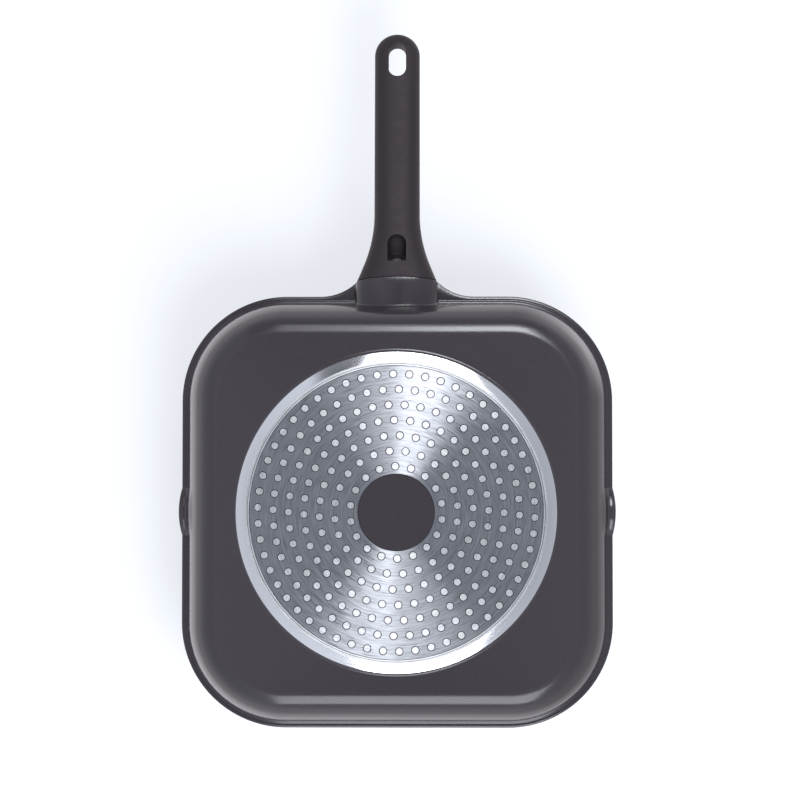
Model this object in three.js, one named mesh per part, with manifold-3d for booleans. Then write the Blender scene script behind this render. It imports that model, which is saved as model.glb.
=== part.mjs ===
// A square die-cast grill pan with a perforated induction plate and a screwed-on handle.
// Millimetres, +Z up. The origin is the centre of the base at hob level and the handle runs along +Y.

import * as THREE from 'three';
import { mergeVertices } from 'three/addons/utils/BufferGeometryUtils.js';
import Module from 'manifold-3d';

const wasm = await Module();
wasm.setup();

const degrees = THREE.MathUtils.degToRad;
const FULL_TURN = 2 * Math.PI;
const RIGHT_ANGLE = Math.PI / 2;

// Pan body
const BODY_WIDTH = 280;
const CORNER_RADIUS = 68;
const BODY_HEIGHT = 44;
const FLOOR_THICKNESS = 5;
const WALL_THICKNESS = 3.2;
const WALL_DRAFT = degrees(11);
const OUTER_FILLET = 17.5;
const INNER_FILLET = 12;
const FLANGE_REACH = 4.6;
const FLANGE_THICKNESS = 3;
const RIM_BEVEL = 1.1;

// Pour spouts in the middle of the two sides
const SPOUT_LENGTH = 31;
const SPOUT_DIP = 6;
const SPOUT_BULGE = 1.6;

// Grill ribs on the floor
const RIB_PITCH = 14;
const RIB_WIDTH = 6.5;
const RIB_HEIGHT = 4;
const RIB_BEVEL = 1.4;
const GUTTER_WIDTH = 9;

// Induction plate, and the turned pad under the base that holds it
const PLATE_RADIUS = 92.8;
const PLATE_THICKNESS = 0.6;
const BOSS_RADIUS = 24.2;
const BOSS_SETBACK = 0.2;
const PAD_LAND = 2.5;
const CHAMFER_WIDTH = 6;
const CHAMFER_HEIGHT = 1.4;
const STEP_WIDTH = 2.2;
const STEP_HEIGHT = 1.6;

// Studs of the pad that fill the holes of the plate
const RING_PITCH = 9.73;
const STUDS_ADDED_PER_RING = 6;
const STUD_RADIUS = 2.25;
const STUD_SETBACK = 0.1;
const HOLE_MARGIN = 1.5;
const PATTERN_TURN = degrees(8.74);

// Handle
const HANDLE_LENGTH = 166.4;
const HANDLE_RISE = degrees(8);
const GRIP_WIDTH = 29.6;
const ROOT_WIDTH = 52.4;
const FLARE_LENGTH = 44;
const ROOT_THICKNESS = 22;
const TIP_THICKNESS = 15.5;
const TIP_EDGE_ROUND = 4;
const SECTION_POWER = 2.6;
const SLOT_WIDTH = 11.5;
const SLOT_LENGTH = 23.5;
const SLOT_FROM_TIP = 6.8;

// Cast lug that carries the handle, the wings of the rim beside it and the tenon on its end
const LUG_REACH = 9.8;
const LUG_SPREAD = 3;
const JOINT_DROP = 10;
const WING_FILLET = 34;
const WING_SETBACK = 0.6;
const WING_OVERHANG = 2;
const TENON_WIDTH = 32;
const TENON_THICKNESS = 12.5;
const TENON_LENGTH = 3.6;
const TENON_CORNER = 3;

// Handle screw, its washers, its thread insert, the tunnel for its head and the pocket in front of that
const POCKET_FROM_ROOT = 10.6;
const POCKET_SIDE_ROOM = 1.35;
const MOUTH_LIP = 0.3;
const TUNNEL_LENGTH = 5.6;
const SCREW_TILT = degrees(32);
const SCREW_RADIUS = 2.5;
const SCREW_LENGTH = 20;
const SCREW_POINT = 0.8;
const HEAD_OVERHANG = 1.5;
const HEAD_HEIGHT = 2.8;
const HEAD_BEVEL = 0.9;
const RECESS_SPAN = 4.8;
const RECESS_BLADE = 1;
const RECESS_DEPTH = 1.8;
const WASHER_BAND = 1.3;
const WASHER_THICKNESS = 0.8;
const SPRING_WASHER_BAND = 1;
const SPRING_WASHER_THICKNESS = 1;
const SPRING_WASHER_SPLIT = degrees(14);
const INSERT_WALL = 0.9;
const INSERT_LENGTH = 9;
const THREAD_RUNOUT = 1.5;

// Clearances between fitted pieces, and how far a cut or a buried end runs past what it meets
const FIT_GAP = 0.3;
const SEAT_GAP = 0.2;
const OVERRUN = 5;

// Facets
const CORNER_STEPS = 6;
const FILLET_STEPS = 4;
const SPOUT_STEPS = 8;
const PAD_SIDES = 48;
const STUD_SIDES = 6;
const STUD_FACET_TWIST = degrees(17.3);
const SECTION_POINTS = 24;
const FLARE_STEPS = 6;
const TIP_STEPS = 6;
const SCREW_SIDES = 16;
const CURVE_STEPS = 4;
const RIB_END_STEPS = 2;

// Places worked out from the sizes above
const rimHalf = BODY_WIDTH / 2;
const cornerCentre = rimHalf - CORNER_RADIUS;
const baseHeight = CHAMFER_HEIGHT + STEP_HEIGHT;
const floorHeight = baseHeight + FLOOR_THICKNESS;
const flangeHeight = BODY_HEIGHT - FLANGE_THICKNESS;
const wallHalf = rimHalf - FLANGE_REACH;
const innerWallHalf = wallHalf - WALL_THICKNESS / Math.cos(WALL_DRAFT);
const recessRadius = PLATE_RADIUS + FIT_GAP;
const boreRadius = BOSS_RADIUS + FIT_GAP;
const holeRadius = STUD_RADIUS + FIT_GAP;
const landRadius = recessRadius + PAD_LAND;
const padRadius = landRadius + CHAMFER_WIDTH;
const jointY = rimHalf + LUG_REACH;
const jointZ = BODY_HEIGHT - JOINT_DROP;
const tipRadius = GRIP_WIDTH / 2;
const rootHalf = ROOT_WIDTH / 2;
const clearanceRadius = SCREW_RADIUS + FIT_GAP;
const headRadius = SCREW_RADIUS + HEAD_OVERHANG;
const washerRadius = clearanceRadius + WASHER_BAND;
const springWasherRadius = clearanceRadius + SPRING_WASHER_BAND;
const insertRadius = clearanceRadius + INSERT_WALL;
const seatRadius = Math.max(headRadius, washerRadius, springWasherRadius) + FIT_GAP;
const mouthRadius = seatRadius + MOUTH_LIP;
const pocketLength = (2 * mouthRadius) / Math.sin(SCREW_TILT);
const pocketHalfWidth = mouthRadius + POCKET_SIDE_ROOM;

// Solids from geometry, and back

function solid(geometry) {
  const plain = geometry.index ? geometry.toNonIndexed() : geometry.clone();
  plain.deleteAttribute('normal');
  plain.deleteAttribute('uv');
  const merged = mergeVertices(plain);
  const vertProperties = new Float32Array(merged.attributes.position.array);
  const triVerts = new Uint32Array(merged.index.array);
  return new wasm.Manifold(new wasm.Mesh({ numProp: 3, vertProperties, triVerts }));
}

function geometryOf(body) {
  const mesh = body.getMesh();
  const geometry = new THREE.BufferGeometry();
  geometry.setAttribute('position', new THREE.BufferAttribute(mesh.vertProperties, 3));
  geometry.setIndex(new THREE.BufferAttribute(mesh.triVerts, 1));
  geometry.computeVertexNormals();
  return geometry;
}

// A closed skin over rings of points that all run the same way round, with a flat cap on each end.
function skin(rings) {
  const count = rings[0].length;
  const points = rings.flat();
  const index = [];
  for (let ring = 0; ring + 1 < rings.length; ring++) {
    for (let i = 0; i < count; i++) {
      const a = ring * count + i;
      const b = ring * count + ((i + 1) % count);
      index.push(a, b, b + count, a, b + count, a + count);
    }
  }
  const addCap = (start, facesBack) => {
    const centre = new THREE.Vector3();
    for (let i = 0; i < count; i++) {
      centre.addScaledVector(points[start + i], 1 / count);
    }
    const middle = points.push(centre) - 1;
    for (let i = 0; i < count; i++) {
      const a = start + i;
      const b = start + ((i + 1) % count);
      index.push(middle, facesBack ? b : a, facesBack ? a : b);
    }
  };
  addCap(0, true);
  addCap((rings.length - 1) * count, false);
  const geometry = new THREE.BufferGeometry().setFromPoints(points);
  geometry.setIndex(index);
  return geometry;
}

// An outline in plan, raised from one height to another.
function prism(shape, bottom, top) {
  const settings = { depth: top - bottom, bevelEnabled: false, curveSegments: CURVE_STEPS };
  return new THREE.ExtrudeGeometry(shape, settings).translate(0, 0, bottom);
}

// An outline in the Y-Z plane, thickened to both sides of X = 0.
function crossBlock(shape, width) {
  const turn = new THREE.Matrix4().makeBasis(
    new THREE.Vector3(0, 1, 0),
    new THREE.Vector3(0, 0, 1),
    new THREE.Vector3(1, 0, 0),
  );
  return prism(shape, -width / 2, width / 2).applyMatrix4(turn);
}

// An outline in the X-Z plane, drawn out along Y.
function lengthBlock(shape, from, to) {
  const turn = new THREE.Matrix4().makeBasis(
    new THREE.Vector3(1, 0, 0),
    new THREE.Vector3(0, 0, 1),
    new THREE.Vector3(0, -1, 0),
  );
  return prism(shape, -to, -from).applyMatrix4(turn);
}

// A solid turned about Y from radius and height pairs that run outwards and upwards.
function turned(profile, sides) {
  const points = profile.map(([radius, y]) => new THREE.Vector2(radius, y));
  return new THREE.LatheGeometry(points, sides);
}

function rod(radius, from, to) {
  const length = to - from;
  return new THREE.CylinderGeometry(radius, radius, length, SCREW_SIDES).translate(0, from + length / 2, 0);
}

// A slot outline with round ends, along Y.
function stadium(width, length, centreY) {
  const radius = width / 2;
  const reach = length / 2 - radius;
  const shape = new THREE.Shape();
  shape.absarc(0, centreY + reach, radius, 0, Math.PI);
  shape.absarc(0, centreY - reach, radius, Math.PI, FULL_TURN);
  shape.closePath();
  return shape;
}

function roundedRectangle(width, height, corner) {
  const x = width / 2 - corner;
  const y = height / 2 - corner;
  const shape = new THREE.Shape();
  shape.absarc(x, y, corner, 0, RIGHT_ANGLE);
  shape.absarc(-x, y, corner, RIGHT_ANGLE, Math.PI);
  shape.absarc(-x, -y, corner, Math.PI, Math.PI + RIGHT_ANGLE);
  shape.absarc(x, -y, corner, Math.PI + RIGHT_ANGLE, FULL_TURN);
  shape.closePath();
  return shape;
}

function polygon(PathClass, sides, radius, { x, y, angle }) {
  const path = new PathClass();
  const corners = [];
  for (let i = 0; i < sides; i++) {
    const turn = angle + (i / sides) * FULL_TURN;
    corners.push(new THREE.Vector2(x + radius * Math.cos(turn), y + radius * Math.sin(turn)));
  }
  path.setFromPoints(corners);
  path.closePath();
  return path;
}

// How far a circular arc stands off its chord at a distance from the chord's middle.
function arcHeight(chord, sagitta, distance) {
  const half = chord / 2;
  const radius = (half * half + sagitta * sagitta) / (2 * sagitta);
  return Math.sqrt(radius * radius - distance * distance) - (radius - sagitta);
}

// Pan body

// A rounded square at a half width and a height. At the spouts a ring of the rim's edge bulges out
// as it dips, and the ring where the rim meets the wall dips along the wall.
function panRing({ half, z, spout }) {
  const ring = [];
  const addSpout = (side) => {
    for (let i = 0; i <= SPOUT_STEPS; i++) {
      const along = SPOUT_LENGTH * (i / SPOUT_STEPS - 0.5);
      const dip = spout ? arcHeight(SPOUT_LENGTH, SPOUT_DIP, along) : 0;
      const slide = -dip * Math.tan(WALL_DRAFT);
      const shift = spout === 'edge' ? arcHeight(SPOUT_LENGTH, SPOUT_BULGE, along) : slide;
      ring.push(new THREE.Vector3(side * (half + shift), side * along, z - dip));
    }
  };
  const addCorner = (quarter) => {
    const middle = (quarter + 0.5) * RIGHT_ANGLE;
    const centreX = Math.sign(Math.cos(middle)) * cornerCentre;
    const centreY = Math.sign(Math.sin(middle)) * cornerCentre;
    const radius = half - cornerCentre;
    for (let i = 0; i <= CORNER_STEPS; i++) {
      const angle = (quarter + i / CORNER_STEPS) * RIGHT_ANGLE;
      const x = centreX + radius * Math.cos(angle);
      const y = centreY + radius * Math.sin(angle);
      ring.push(new THREE.Vector3(x, y, z));
    }
  };
  addSpout(1);
  addCorner(0);
  addCorner(1);
  addSpout(-1);
  addCorner(2);
  addCorner(3);
  return ring;
}

// The fillet that leads from a flat floor into the drafted wall through a half width at a height.
function filletProfile(half, z, floor, radius) {
  const centreZ = floor + radius;
  const tangentZ = centreZ - radius * Math.sin(WALL_DRAFT);
  const tangentHalf = half - (z - tangentZ) * Math.tan(WALL_DRAFT);
  const centreHalf = tangentHalf - radius * Math.cos(WALL_DRAFT);
  const profile = [];
  for (let i = 0; i <= FILLET_STEPS; i++) {
    const angle = (i / FILLET_STEPS) * (RIGHT_ANGLE - WALL_DRAFT);
    profile.push({ half: centreHalf + radius * Math.sin(angle), z: centreZ - radius * Math.cos(angle) });
  }
  return profile;
}

const innerFillet = filletProfile(innerWallHalf, flangeHeight, floorHeight, INNER_FILLET);

function outerForm() {
  const profile = [
    ...filletProfile(wallHalf, flangeHeight, baseHeight, OUTER_FILLET),
    { half: wallHalf, z: flangeHeight, spout: 'wall' },
    { half: rimHalf - RIM_BEVEL, z: flangeHeight, spout: 'edge' },
    { half: rimHalf, z: flangeHeight + RIM_BEVEL, spout: 'edge' },
    { half: rimHalf, z: BODY_HEIGHT - RIM_BEVEL, spout: 'edge' },
    { half: rimHalf - RIM_BEVEL, z: BODY_HEIGHT, spout: 'edge' },
    { half: innerWallHalf - OVERRUN, z: BODY_HEIGHT, spout: 'edge' },
  ];
  return solid(skin(profile.map(panRing)));
}

function cavity() {
  const top = BODY_HEIGHT + OVERRUN;
  const topHalf = innerWallHalf + (top - flangeHeight) * Math.tan(WALL_DRAFT);
  return solid(skin([...innerFillet, { half: topHalf, z: top }].map(panRing)));
}

// Bars along Y whose ends keep one gutter's width inside the edge of the flat floor.
function grillRibs() {
  const endHalf = innerFillet[0].half - GUTTER_WIDTH;
  const endRadius = endHalf - cornerCentre;
  const ribsEachSide = Math.floor((endHalf - RIB_WIDTH / 2) / RIB_PITCH);
  const ribs = [];
  for (let i = -ribsEachSide; i <= ribsEachSide; i++) {
    const x = i * RIB_PITCH;
    const intoCorner = Math.max(0, Math.abs(x) + RIB_WIDTH / 2 - cornerCentre);
    const reach = cornerCentre + Math.sqrt(endRadius * endRadius - intoCorner * intoCorner);
    const rib = new THREE.ExtrudeGeometry(stadium(RIB_WIDTH, 2 * reach, 0), {
      depth: RIB_HEIGHT,
      bevelThickness: RIB_BEVEL,
      bevelSize: RIB_BEVEL,
      bevelOffset: -RIB_BEVEL,
      bevelSegments: 1,
      curveSegments: RIB_END_STEPS,
    });
    ribs.push(solid(rib.translate(x, 0, floorHeight - RIB_BEVEL)));
  }
  return ribs;
}

// The pad under the base: boss, recess for the plate, flat land, turned chamfer and coated step.
function basePad() {
  const buried = baseHeight + FLOOR_THICKNESS / 2;
  const profile = [
    [0, BOSS_SETBACK],
    [BOSS_RADIUS, BOSS_SETBACK],
    [BOSS_RADIUS, PLATE_THICKNESS],
    [recessRadius, PLATE_THICKNESS],
    [recessRadius, 0],
    [landRadius, 0],
    [padRadius, CHAMFER_HEIGHT],
    [padRadius + STEP_WIDTH, baseHeight],
    [padRadius + STEP_WIDTH, buried],
    [0, buried],
  ];
  return solid(turned(profile, PAD_SIDES).rotateX(RIGHT_ANGLE));
}

// Studs stand on rings about the centre, six more on each ring than on the ring inside it.
function studPlaces() {
  const firstRing = Math.ceil((boreRadius + HOLE_MARGIN + holeRadius) / RING_PITCH);
  const lastRing = Math.floor((PLATE_RADIUS - HOLE_MARGIN - holeRadius) / RING_PITCH);
  const places = [];
  for (let ring = firstRing; ring <= lastRing; ring++) {
    const count = ring * STUDS_ADDED_PER_RING;
    for (let i = 0; i < count; i++) {
      const bearing = PATTERN_TURN + (i / count) * FULL_TURN;
      const radius = ring * RING_PITCH;
      const angle = bearing + ring * STUD_FACET_TWIST;
      places.push({ angle, x: radius * Math.cos(bearing), y: radius * Math.sin(bearing) });
    }
  }
  return places;
}

const studs = studPlaces();

function plateStuds() {
  const outlines = studs.map((place) => polygon(THREE.Shape, STUD_SIDES, STUD_RADIUS, place));
  return solid(prism(outlines, STUD_SETBACK, baseHeight));
}

// Rim wings that sweep out of the straight rim into the sides of the lug.
function rimWings() {
  const tipY = jointY - JOINT_DROP * Math.tan(HANDLE_RISE) - WING_SETBACK;
  const sweep = Math.acos(1 - (tipY - rimHalf) / WING_FILLET);
  const footX = rootHalf + WING_OVERHANG + WING_FILLET * Math.sin(sweep);
  const centreY = rimHalf + WING_FILLET;
  const shape = new THREE.Shape();
  shape.moveTo(footX, wallHalf);
  shape.absarc(footX, centreY, WING_FILLET, -RIGHT_ANGLE, -RIGHT_ANGLE - sweep, true);
  shape.absarc(-footX, centreY, WING_FILLET, -RIGHT_ANGLE + sweep, -RIGHT_ANGLE, true);
  shape.lineTo(-footX, wallHalf);
  shape.closePath();
  return solid(prism(shape, flangeHeight, BODY_HEIGHT));
}

// Handle frame: the origin is the middle of the joint, +Y runs along the handle and +Z out of its top

const handleFrame = new THREE.Group();
handleFrame.position.set(0, jointY, jointZ);
handleFrame.rotation.x = HANDLE_RISE;
handleFrame.updateMatrix();

function thicknessAt(along) {
  return THREE.MathUtils.lerp(ROOT_THICKNESS, TIP_THICKNESS, along / HANDLE_LENGTH);
}

// A section across the handle: a rounded oblong in the X-Z plane.
function handleSection(along, halfWidth, halfThickness) {
  const soften = (value) => Math.sign(value) * Math.abs(value) ** (2 / SECTION_POWER);
  const section = [];
  for (let i = 0; i < SECTION_POINTS; i++) {
    const turn = (i / SECTION_POINTS) * FULL_TURN;
    section.push(
      new THREE.Vector3(halfWidth * soften(Math.sin(turn)), along, halfThickness * soften(Math.cos(turn))),
    );
  }
  return section;
}

// The flare widens along a circular arc that starts straight where the grip ends.
function flareHalfWidth(along) {
  const spread = rootHalf - tipRadius;
  return rootHalf - arcHeight(2 * FLARE_LENGTH, spread, FLARE_LENGTH - along);
}

function handleForm() {
  const sections = [];
  for (let i = 0; i <= FLARE_STEPS; i++) {
    const along = THREE.MathUtils.lerp(FIT_GAP, FLARE_LENGTH, i / FLARE_STEPS);
    sections.push(handleSection(along, flareHalfWidth(along), thicknessAt(along) / 2));
  }
  for (let i = 0; i < TIP_STEPS; i++) {
    const angle = (i / TIP_STEPS) * RIGHT_ANGLE;
    const along = HANDLE_LENGTH - tipRadius * (1 - Math.sin(angle));
    const intoRound = Math.max(0, TIP_EDGE_ROUND - (HANDLE_LENGTH - along));
    const rounding = TIP_EDGE_ROUND - Math.sqrt(TIP_EDGE_ROUND ** 2 - intoRound ** 2);
    sections.push(handleSection(along, tipRadius * Math.cos(angle), thicknessAt(along) / 2 - rounding));
  }
  return solid(skin(sections));
}

// The lug carries the handle's root section on inwards until it is buried in the wall.
function lug() {
  const depth = LUG_REACH + FLANGE_REACH + 2 * OVERRUN;
  const buried = handleSection(-depth, rootHalf + LUG_SPREAD / 2, ROOT_THICKNESS / 2);
  const face = handleSection(0, rootHalf, ROOT_THICKNESS / 2);
  return solid(skin([buried, face]).applyMatrix4(handleFrame.matrix));
}

// Screw frame: the origin is the middle of the screw's seat and +Y runs along the screw into the lug

const pocketFoot = new THREE.Vector2(POCKET_FROM_ROOT, -thicknessAt(POCKET_FROM_ROOT) / 2);
const endWallUp = new THREE.Vector2(Math.sin(SCREW_TILT), Math.cos(SCREW_TILT));
const rampOut = new THREE.Vector2(Math.cos(SCREW_TILT), -Math.sin(SCREW_TILT));
const mouthCentre = pocketFoot.clone().addScaledVector(endWallUp, mouthRadius);
const seatCentre = mouthCentre.clone().addScaledVector(rampOut, -TUNNEL_LENGTH);

const screwFrame = new THREE.Group();
screwFrame.position.set(0, seatCentre.x, seatCentre.y);
screwFrame.rotation.x = Math.PI - SCREW_TILT;
screwFrame.updateMatrix();
handleFrame.add(screwFrame);

const washerFace = -SEAT_GAP;
const springWasherFace = washerFace - WASHER_THICKNESS - SEAT_GAP;
const headFace = springWasherFace - SPRING_WASHER_THICKNESS - SEAT_GAP;
const headTop = headFace - HEAD_HEIGHT;
const screwEnd = headFace + SCREW_LENGTH;
const insertEnd = screwEnd - SCREW_POINT;
const tenonHeight = seatCentre.y + (seatCentre.x - TENON_LENGTH / 2) * Math.tan(SCREW_TILT);

// The tenon on the lug, or with a clearance the socket for it in the handle.
function tenon(clearance) {
  const width = TENON_WIDTH + 2 * clearance;
  const thickness = TENON_THICKNESS + 2 * clearance;
  const outline = roundedRectangle(width, thickness, TENON_CORNER + clearance);
  return lengthBlock(outline, -OVERRUN, TENON_LENGTH + clearance).translate(0, 0, tenonHeight);
}

// The pocket in the handle's underside: an arch in plan, with a ramp that leads to the screw's tunnel.
function screwPocket() {
  const rampTop = pocketFoot.clone().addScaledVector(endWallUp, 2 * mouthRadius);
  const side = new THREE.Shape([
    pocketFoot.clone().addScaledVector(endWallUp, -OVERRUN),
    rampTop,
    rampTop.clone().addScaledVector(rampOut, pocketLength + OVERRUN),
  ]);
  const plan = new THREE.Shape();
  plan.moveTo(-pocketHalfWidth, pocketFoot.x - OVERRUN);
  plan.lineTo(pocketHalfWidth, pocketFoot.x - OVERRUN);
  plan.absarc(0, pocketFoot.x + pocketLength - pocketHalfWidth, pocketHalfWidth, 0, Math.PI);
  plan.closePath();
  const column = prism(plan, pocketFoot.y - 2 * OVERRUN, rampTop.y + OVERRUN);
  return solid(crossBlock(side, 2 * pocketHalfWidth + OVERRUN)).intersect(solid(column));
}

function hangingSlot() {
  const centre = HANDLE_LENGTH - SLOT_FROM_TIP - SLOT_LENGTH / 2;
  return solid(prism(stadium(SLOT_WIDTH, SLOT_LENGTH, centre), -ROOT_THICKNESS, ROOT_THICKNESS));
}

// Sub-parts

function panBody() {
  const insertBore = rod(insertRadius + FIT_GAP, 0, screwEnd + THREAD_RUNOUT)
    .applyMatrix4(screwFrame.matrix)
    .applyMatrix4(handleFrame.matrix);
  let body = outerForm().add(lug()).add(rimWings()).add(basePad());
  body = body.add(solid(tenon(0).applyMatrix4(handleFrame.matrix)));
  body = body.subtract(cavity()).subtract(solid(insertBore));
  for (const rib of grillRibs()) {
    body = body.add(rib);
  }
  return geometryOf(body.add(plateStuds()));
}

function inductionPlate() {
  const centre = { x: 0, y: 0, angle: 0 };
  const outline = polygon(THREE.Shape, PAD_SIDES, PLATE_RADIUS, centre);
  outline.holes.push(polygon(THREE.Path, PAD_SIDES, boreRadius, centre));
  for (const place of studs) {
    outline.holes.push(polygon(THREE.Path, STUD_SIDES, holeRadius, place));
  }
  return prism(outline, 0, PLATE_THICKNESS);
}

function handle() {
  const screwTunnel = rod(seatRadius, -TUNNEL_LENGTH - FIT_GAP, 0).applyMatrix4(screwFrame.matrix);
  const screwHole = rod(clearanceRadius, -FIT_GAP, screwEnd).applyMatrix4(screwFrame.matrix);
  const body = handleForm()
    .subtract(solid(tenon(FIT_GAP)))
    .subtract(screwPocket())
    .subtract(solid(screwTunnel))
    .subtract(solid(screwHole))
    .subtract(hangingSlot());
  return geometryOf(body);
}

function handleScrew() {
  const profile = [
    [0, headTop],
    [headRadius - HEAD_BEVEL, headTop],
    [headRadius, headTop + HEAD_BEVEL],
    [headRadius, headFace],
    [SCREW_RADIUS, headFace],
    [SCREW_RADIUS, screwEnd - SCREW_POINT],
    [SCREW_RADIUS - SCREW_POINT, screwEnd],
    [0, screwEnd],
  ];
  let screw = solid(turned(profile, SCREW_SIDES));
  for (const turn of [0, RIGHT_ANGLE]) {
    const slot = new THREE.BoxGeometry(RECESS_SPAN, 2 * RECESS_DEPTH, RECESS_BLADE).rotateY(turn);
    screw = screw.subtract(solid(slot.translate(0, headTop, 0)));
  }
  return geometryOf(screw);
}

function ringPiece(innerRadius, outerRadius, from, to) {
  const profile = [
    [innerRadius, from],
    [outerRadius, from],
    [outerRadius, to],
    [innerRadius, to],
    [innerRadius, from],
  ];
  return turned(profile, SCREW_SIDES);
}

function flatWasher() {
  return ringPiece(clearanceRadius, washerRadius, washerFace - WASHER_THICKNESS, washerFace);
}

// A split ring, open at one place so that it can spring.
function springWasher() {
  const start = SPRING_WASHER_SPLIT / 2;
  const shape = new THREE.Shape();
  shape.absarc(0, 0, springWasherRadius, start, FULL_TURN - start);
  shape.absarc(0, 0, clearanceRadius, FULL_TURN - start, start, true);
  shape.closePath();
  const ring = prism(shape, springWasherFace - SPRING_WASHER_THICKNESS, springWasherFace);
  return ring.applyMatrix4(
    new THREE.Matrix4().makeBasis(
      new THREE.Vector3(0, 0, 1),
      new THREE.Vector3(1, 0, 0),
      new THREE.Vector3(0, 1, 0),
    ),
  );
}

function threadInsert() {
  return ringPiece(clearanceRadius, insertRadius, insertEnd - INSERT_LENGTH, insertEnd);
}

// Finishes

function finish(color, roughness, metalness) {
  return new THREE.MeshStandardMaterial({ color, roughness, metalness });
}

const darkCoating = finish(0x4b494e, 0.45, 0.2);
const brushedSteel = finish(0xb4b6ba, 0.35, 1);
const softTouch = finish(0x474245, 0.75, 0);
const zincSteel = finish(0xa9aaad, 0.4, 1);

// Assembly

const grillPan = new THREE.Group();
grillPan.add(handleFrame);

function place(frame, name, geometry, material) {
  const mesh = new THREE.Mesh(geometry, material);
  mesh.name = name;
  frame.add(mesh);
}

place(grillPan, 'pan_body', panBody(), darkCoating);
place(grillPan, 'induction_plate', inductionPlate(), brushedSteel);
place(handleFrame, 'handle', handle(), softTouch);
place(screwFrame, 'handle_screw', handleScrew(), zincSteel);
place(screwFrame, 'flat_washer', flatWasher(), zincSteel.clone());
place(screwFrame, 'spring_washer', springWasher(), zincSteel.clone());
place(screwFrame, 'thread_insert', threadInsert(), zincSteel.clone());

export default grillPan;
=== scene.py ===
"""A square cast grill pan, dressed over its CAD frame and set on a plain stage."""

import math

import bmesh
import bpy
from bpy.props import FloatProperty, FloatVectorProperty, IntProperty, PointerProperty
from mathutils import Matrix, Vector, kdtree


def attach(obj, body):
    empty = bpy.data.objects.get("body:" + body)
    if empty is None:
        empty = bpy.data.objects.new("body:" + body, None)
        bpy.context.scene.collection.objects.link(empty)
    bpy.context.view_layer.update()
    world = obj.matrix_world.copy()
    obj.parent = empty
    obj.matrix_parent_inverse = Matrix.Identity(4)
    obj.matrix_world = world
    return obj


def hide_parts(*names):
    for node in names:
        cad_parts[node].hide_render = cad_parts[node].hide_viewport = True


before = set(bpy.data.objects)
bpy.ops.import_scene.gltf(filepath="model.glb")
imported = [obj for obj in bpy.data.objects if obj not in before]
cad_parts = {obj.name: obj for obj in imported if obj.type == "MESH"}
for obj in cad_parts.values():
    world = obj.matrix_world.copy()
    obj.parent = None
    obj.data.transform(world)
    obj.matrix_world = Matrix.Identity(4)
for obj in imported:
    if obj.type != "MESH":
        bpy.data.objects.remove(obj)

bl_info = {
    "name": "Grill pan",
    "version": (1, 0, 0),
    "blender": (4, 5, 0),
    "location": "View3D > Sidebar > Grill pan",
    "description": "Models a square cast grill pan over its CAD frame, and the stage that it is shown on",
    "category": "Object",
}

FULL_TURN = 2 * math.pi
RIGHT_ANGLE = math.pi / 2

# How close two places count as one, and how far a cutter stands past what it cuts
TOUCH = 1e-6
OVERRUN = 0.005

# Fits and small edges, in metres
EDGE_BREAK = 0.0001
FACE_SLACK = 0.00002
PLATE_FIT = 0.0003
STUD_EDGE = 0.00012
WING_GAP = 0.0006
RIB_SINK = 0.0006
RIB_OVERLAP = 0.00004
BOW_REACH = 0.008
TENON_CORNER = 0.003

# Rings on a flat end, as shares of its size
CAP_SHARES = (0.3, 0.65, 1)

# Corners on the round outlines
STUD_SIDES = 20
PLATE_SIDES = 240
LUG_SIDES = 96
GRIP_SIDES = 72


# Sizes and colours that a user would change

def labelled(make, fields, **settings):
    """Properties of one kind with labels made from their names. A field gives its default and a note."""
    made = {}
    for key, (default, note) in fields.items():
        label = key.replace("_", " ").capitalize()
        made[key] = make(name=label, description=note, default=default, **settings)
    return made


def lengths(**fields):
    return labelled(FloatProperty, fields, unit="LENGTH")


def angles(**fields):
    """Angles, with defaults in degrees."""
    in_radians = {key: (math.radians(degrees), note) for key, (degrees, note) in fields.items()}
    return labelled(FloatProperty, in_radians, subtype="ANGLE")


def numbers(**fields):
    return labelled(FloatProperty, fields)


def counts(**fields):
    return labelled(IntProperty, fields, min=1)


def places(**fields):
    return labelled(FloatVectorProperty, fields, size=3, unit="LENGTH")


def colours(**fields):
    return labelled(FloatVectorProperty, fields, size=3, subtype="COLOR", min=0, max=1)


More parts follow.
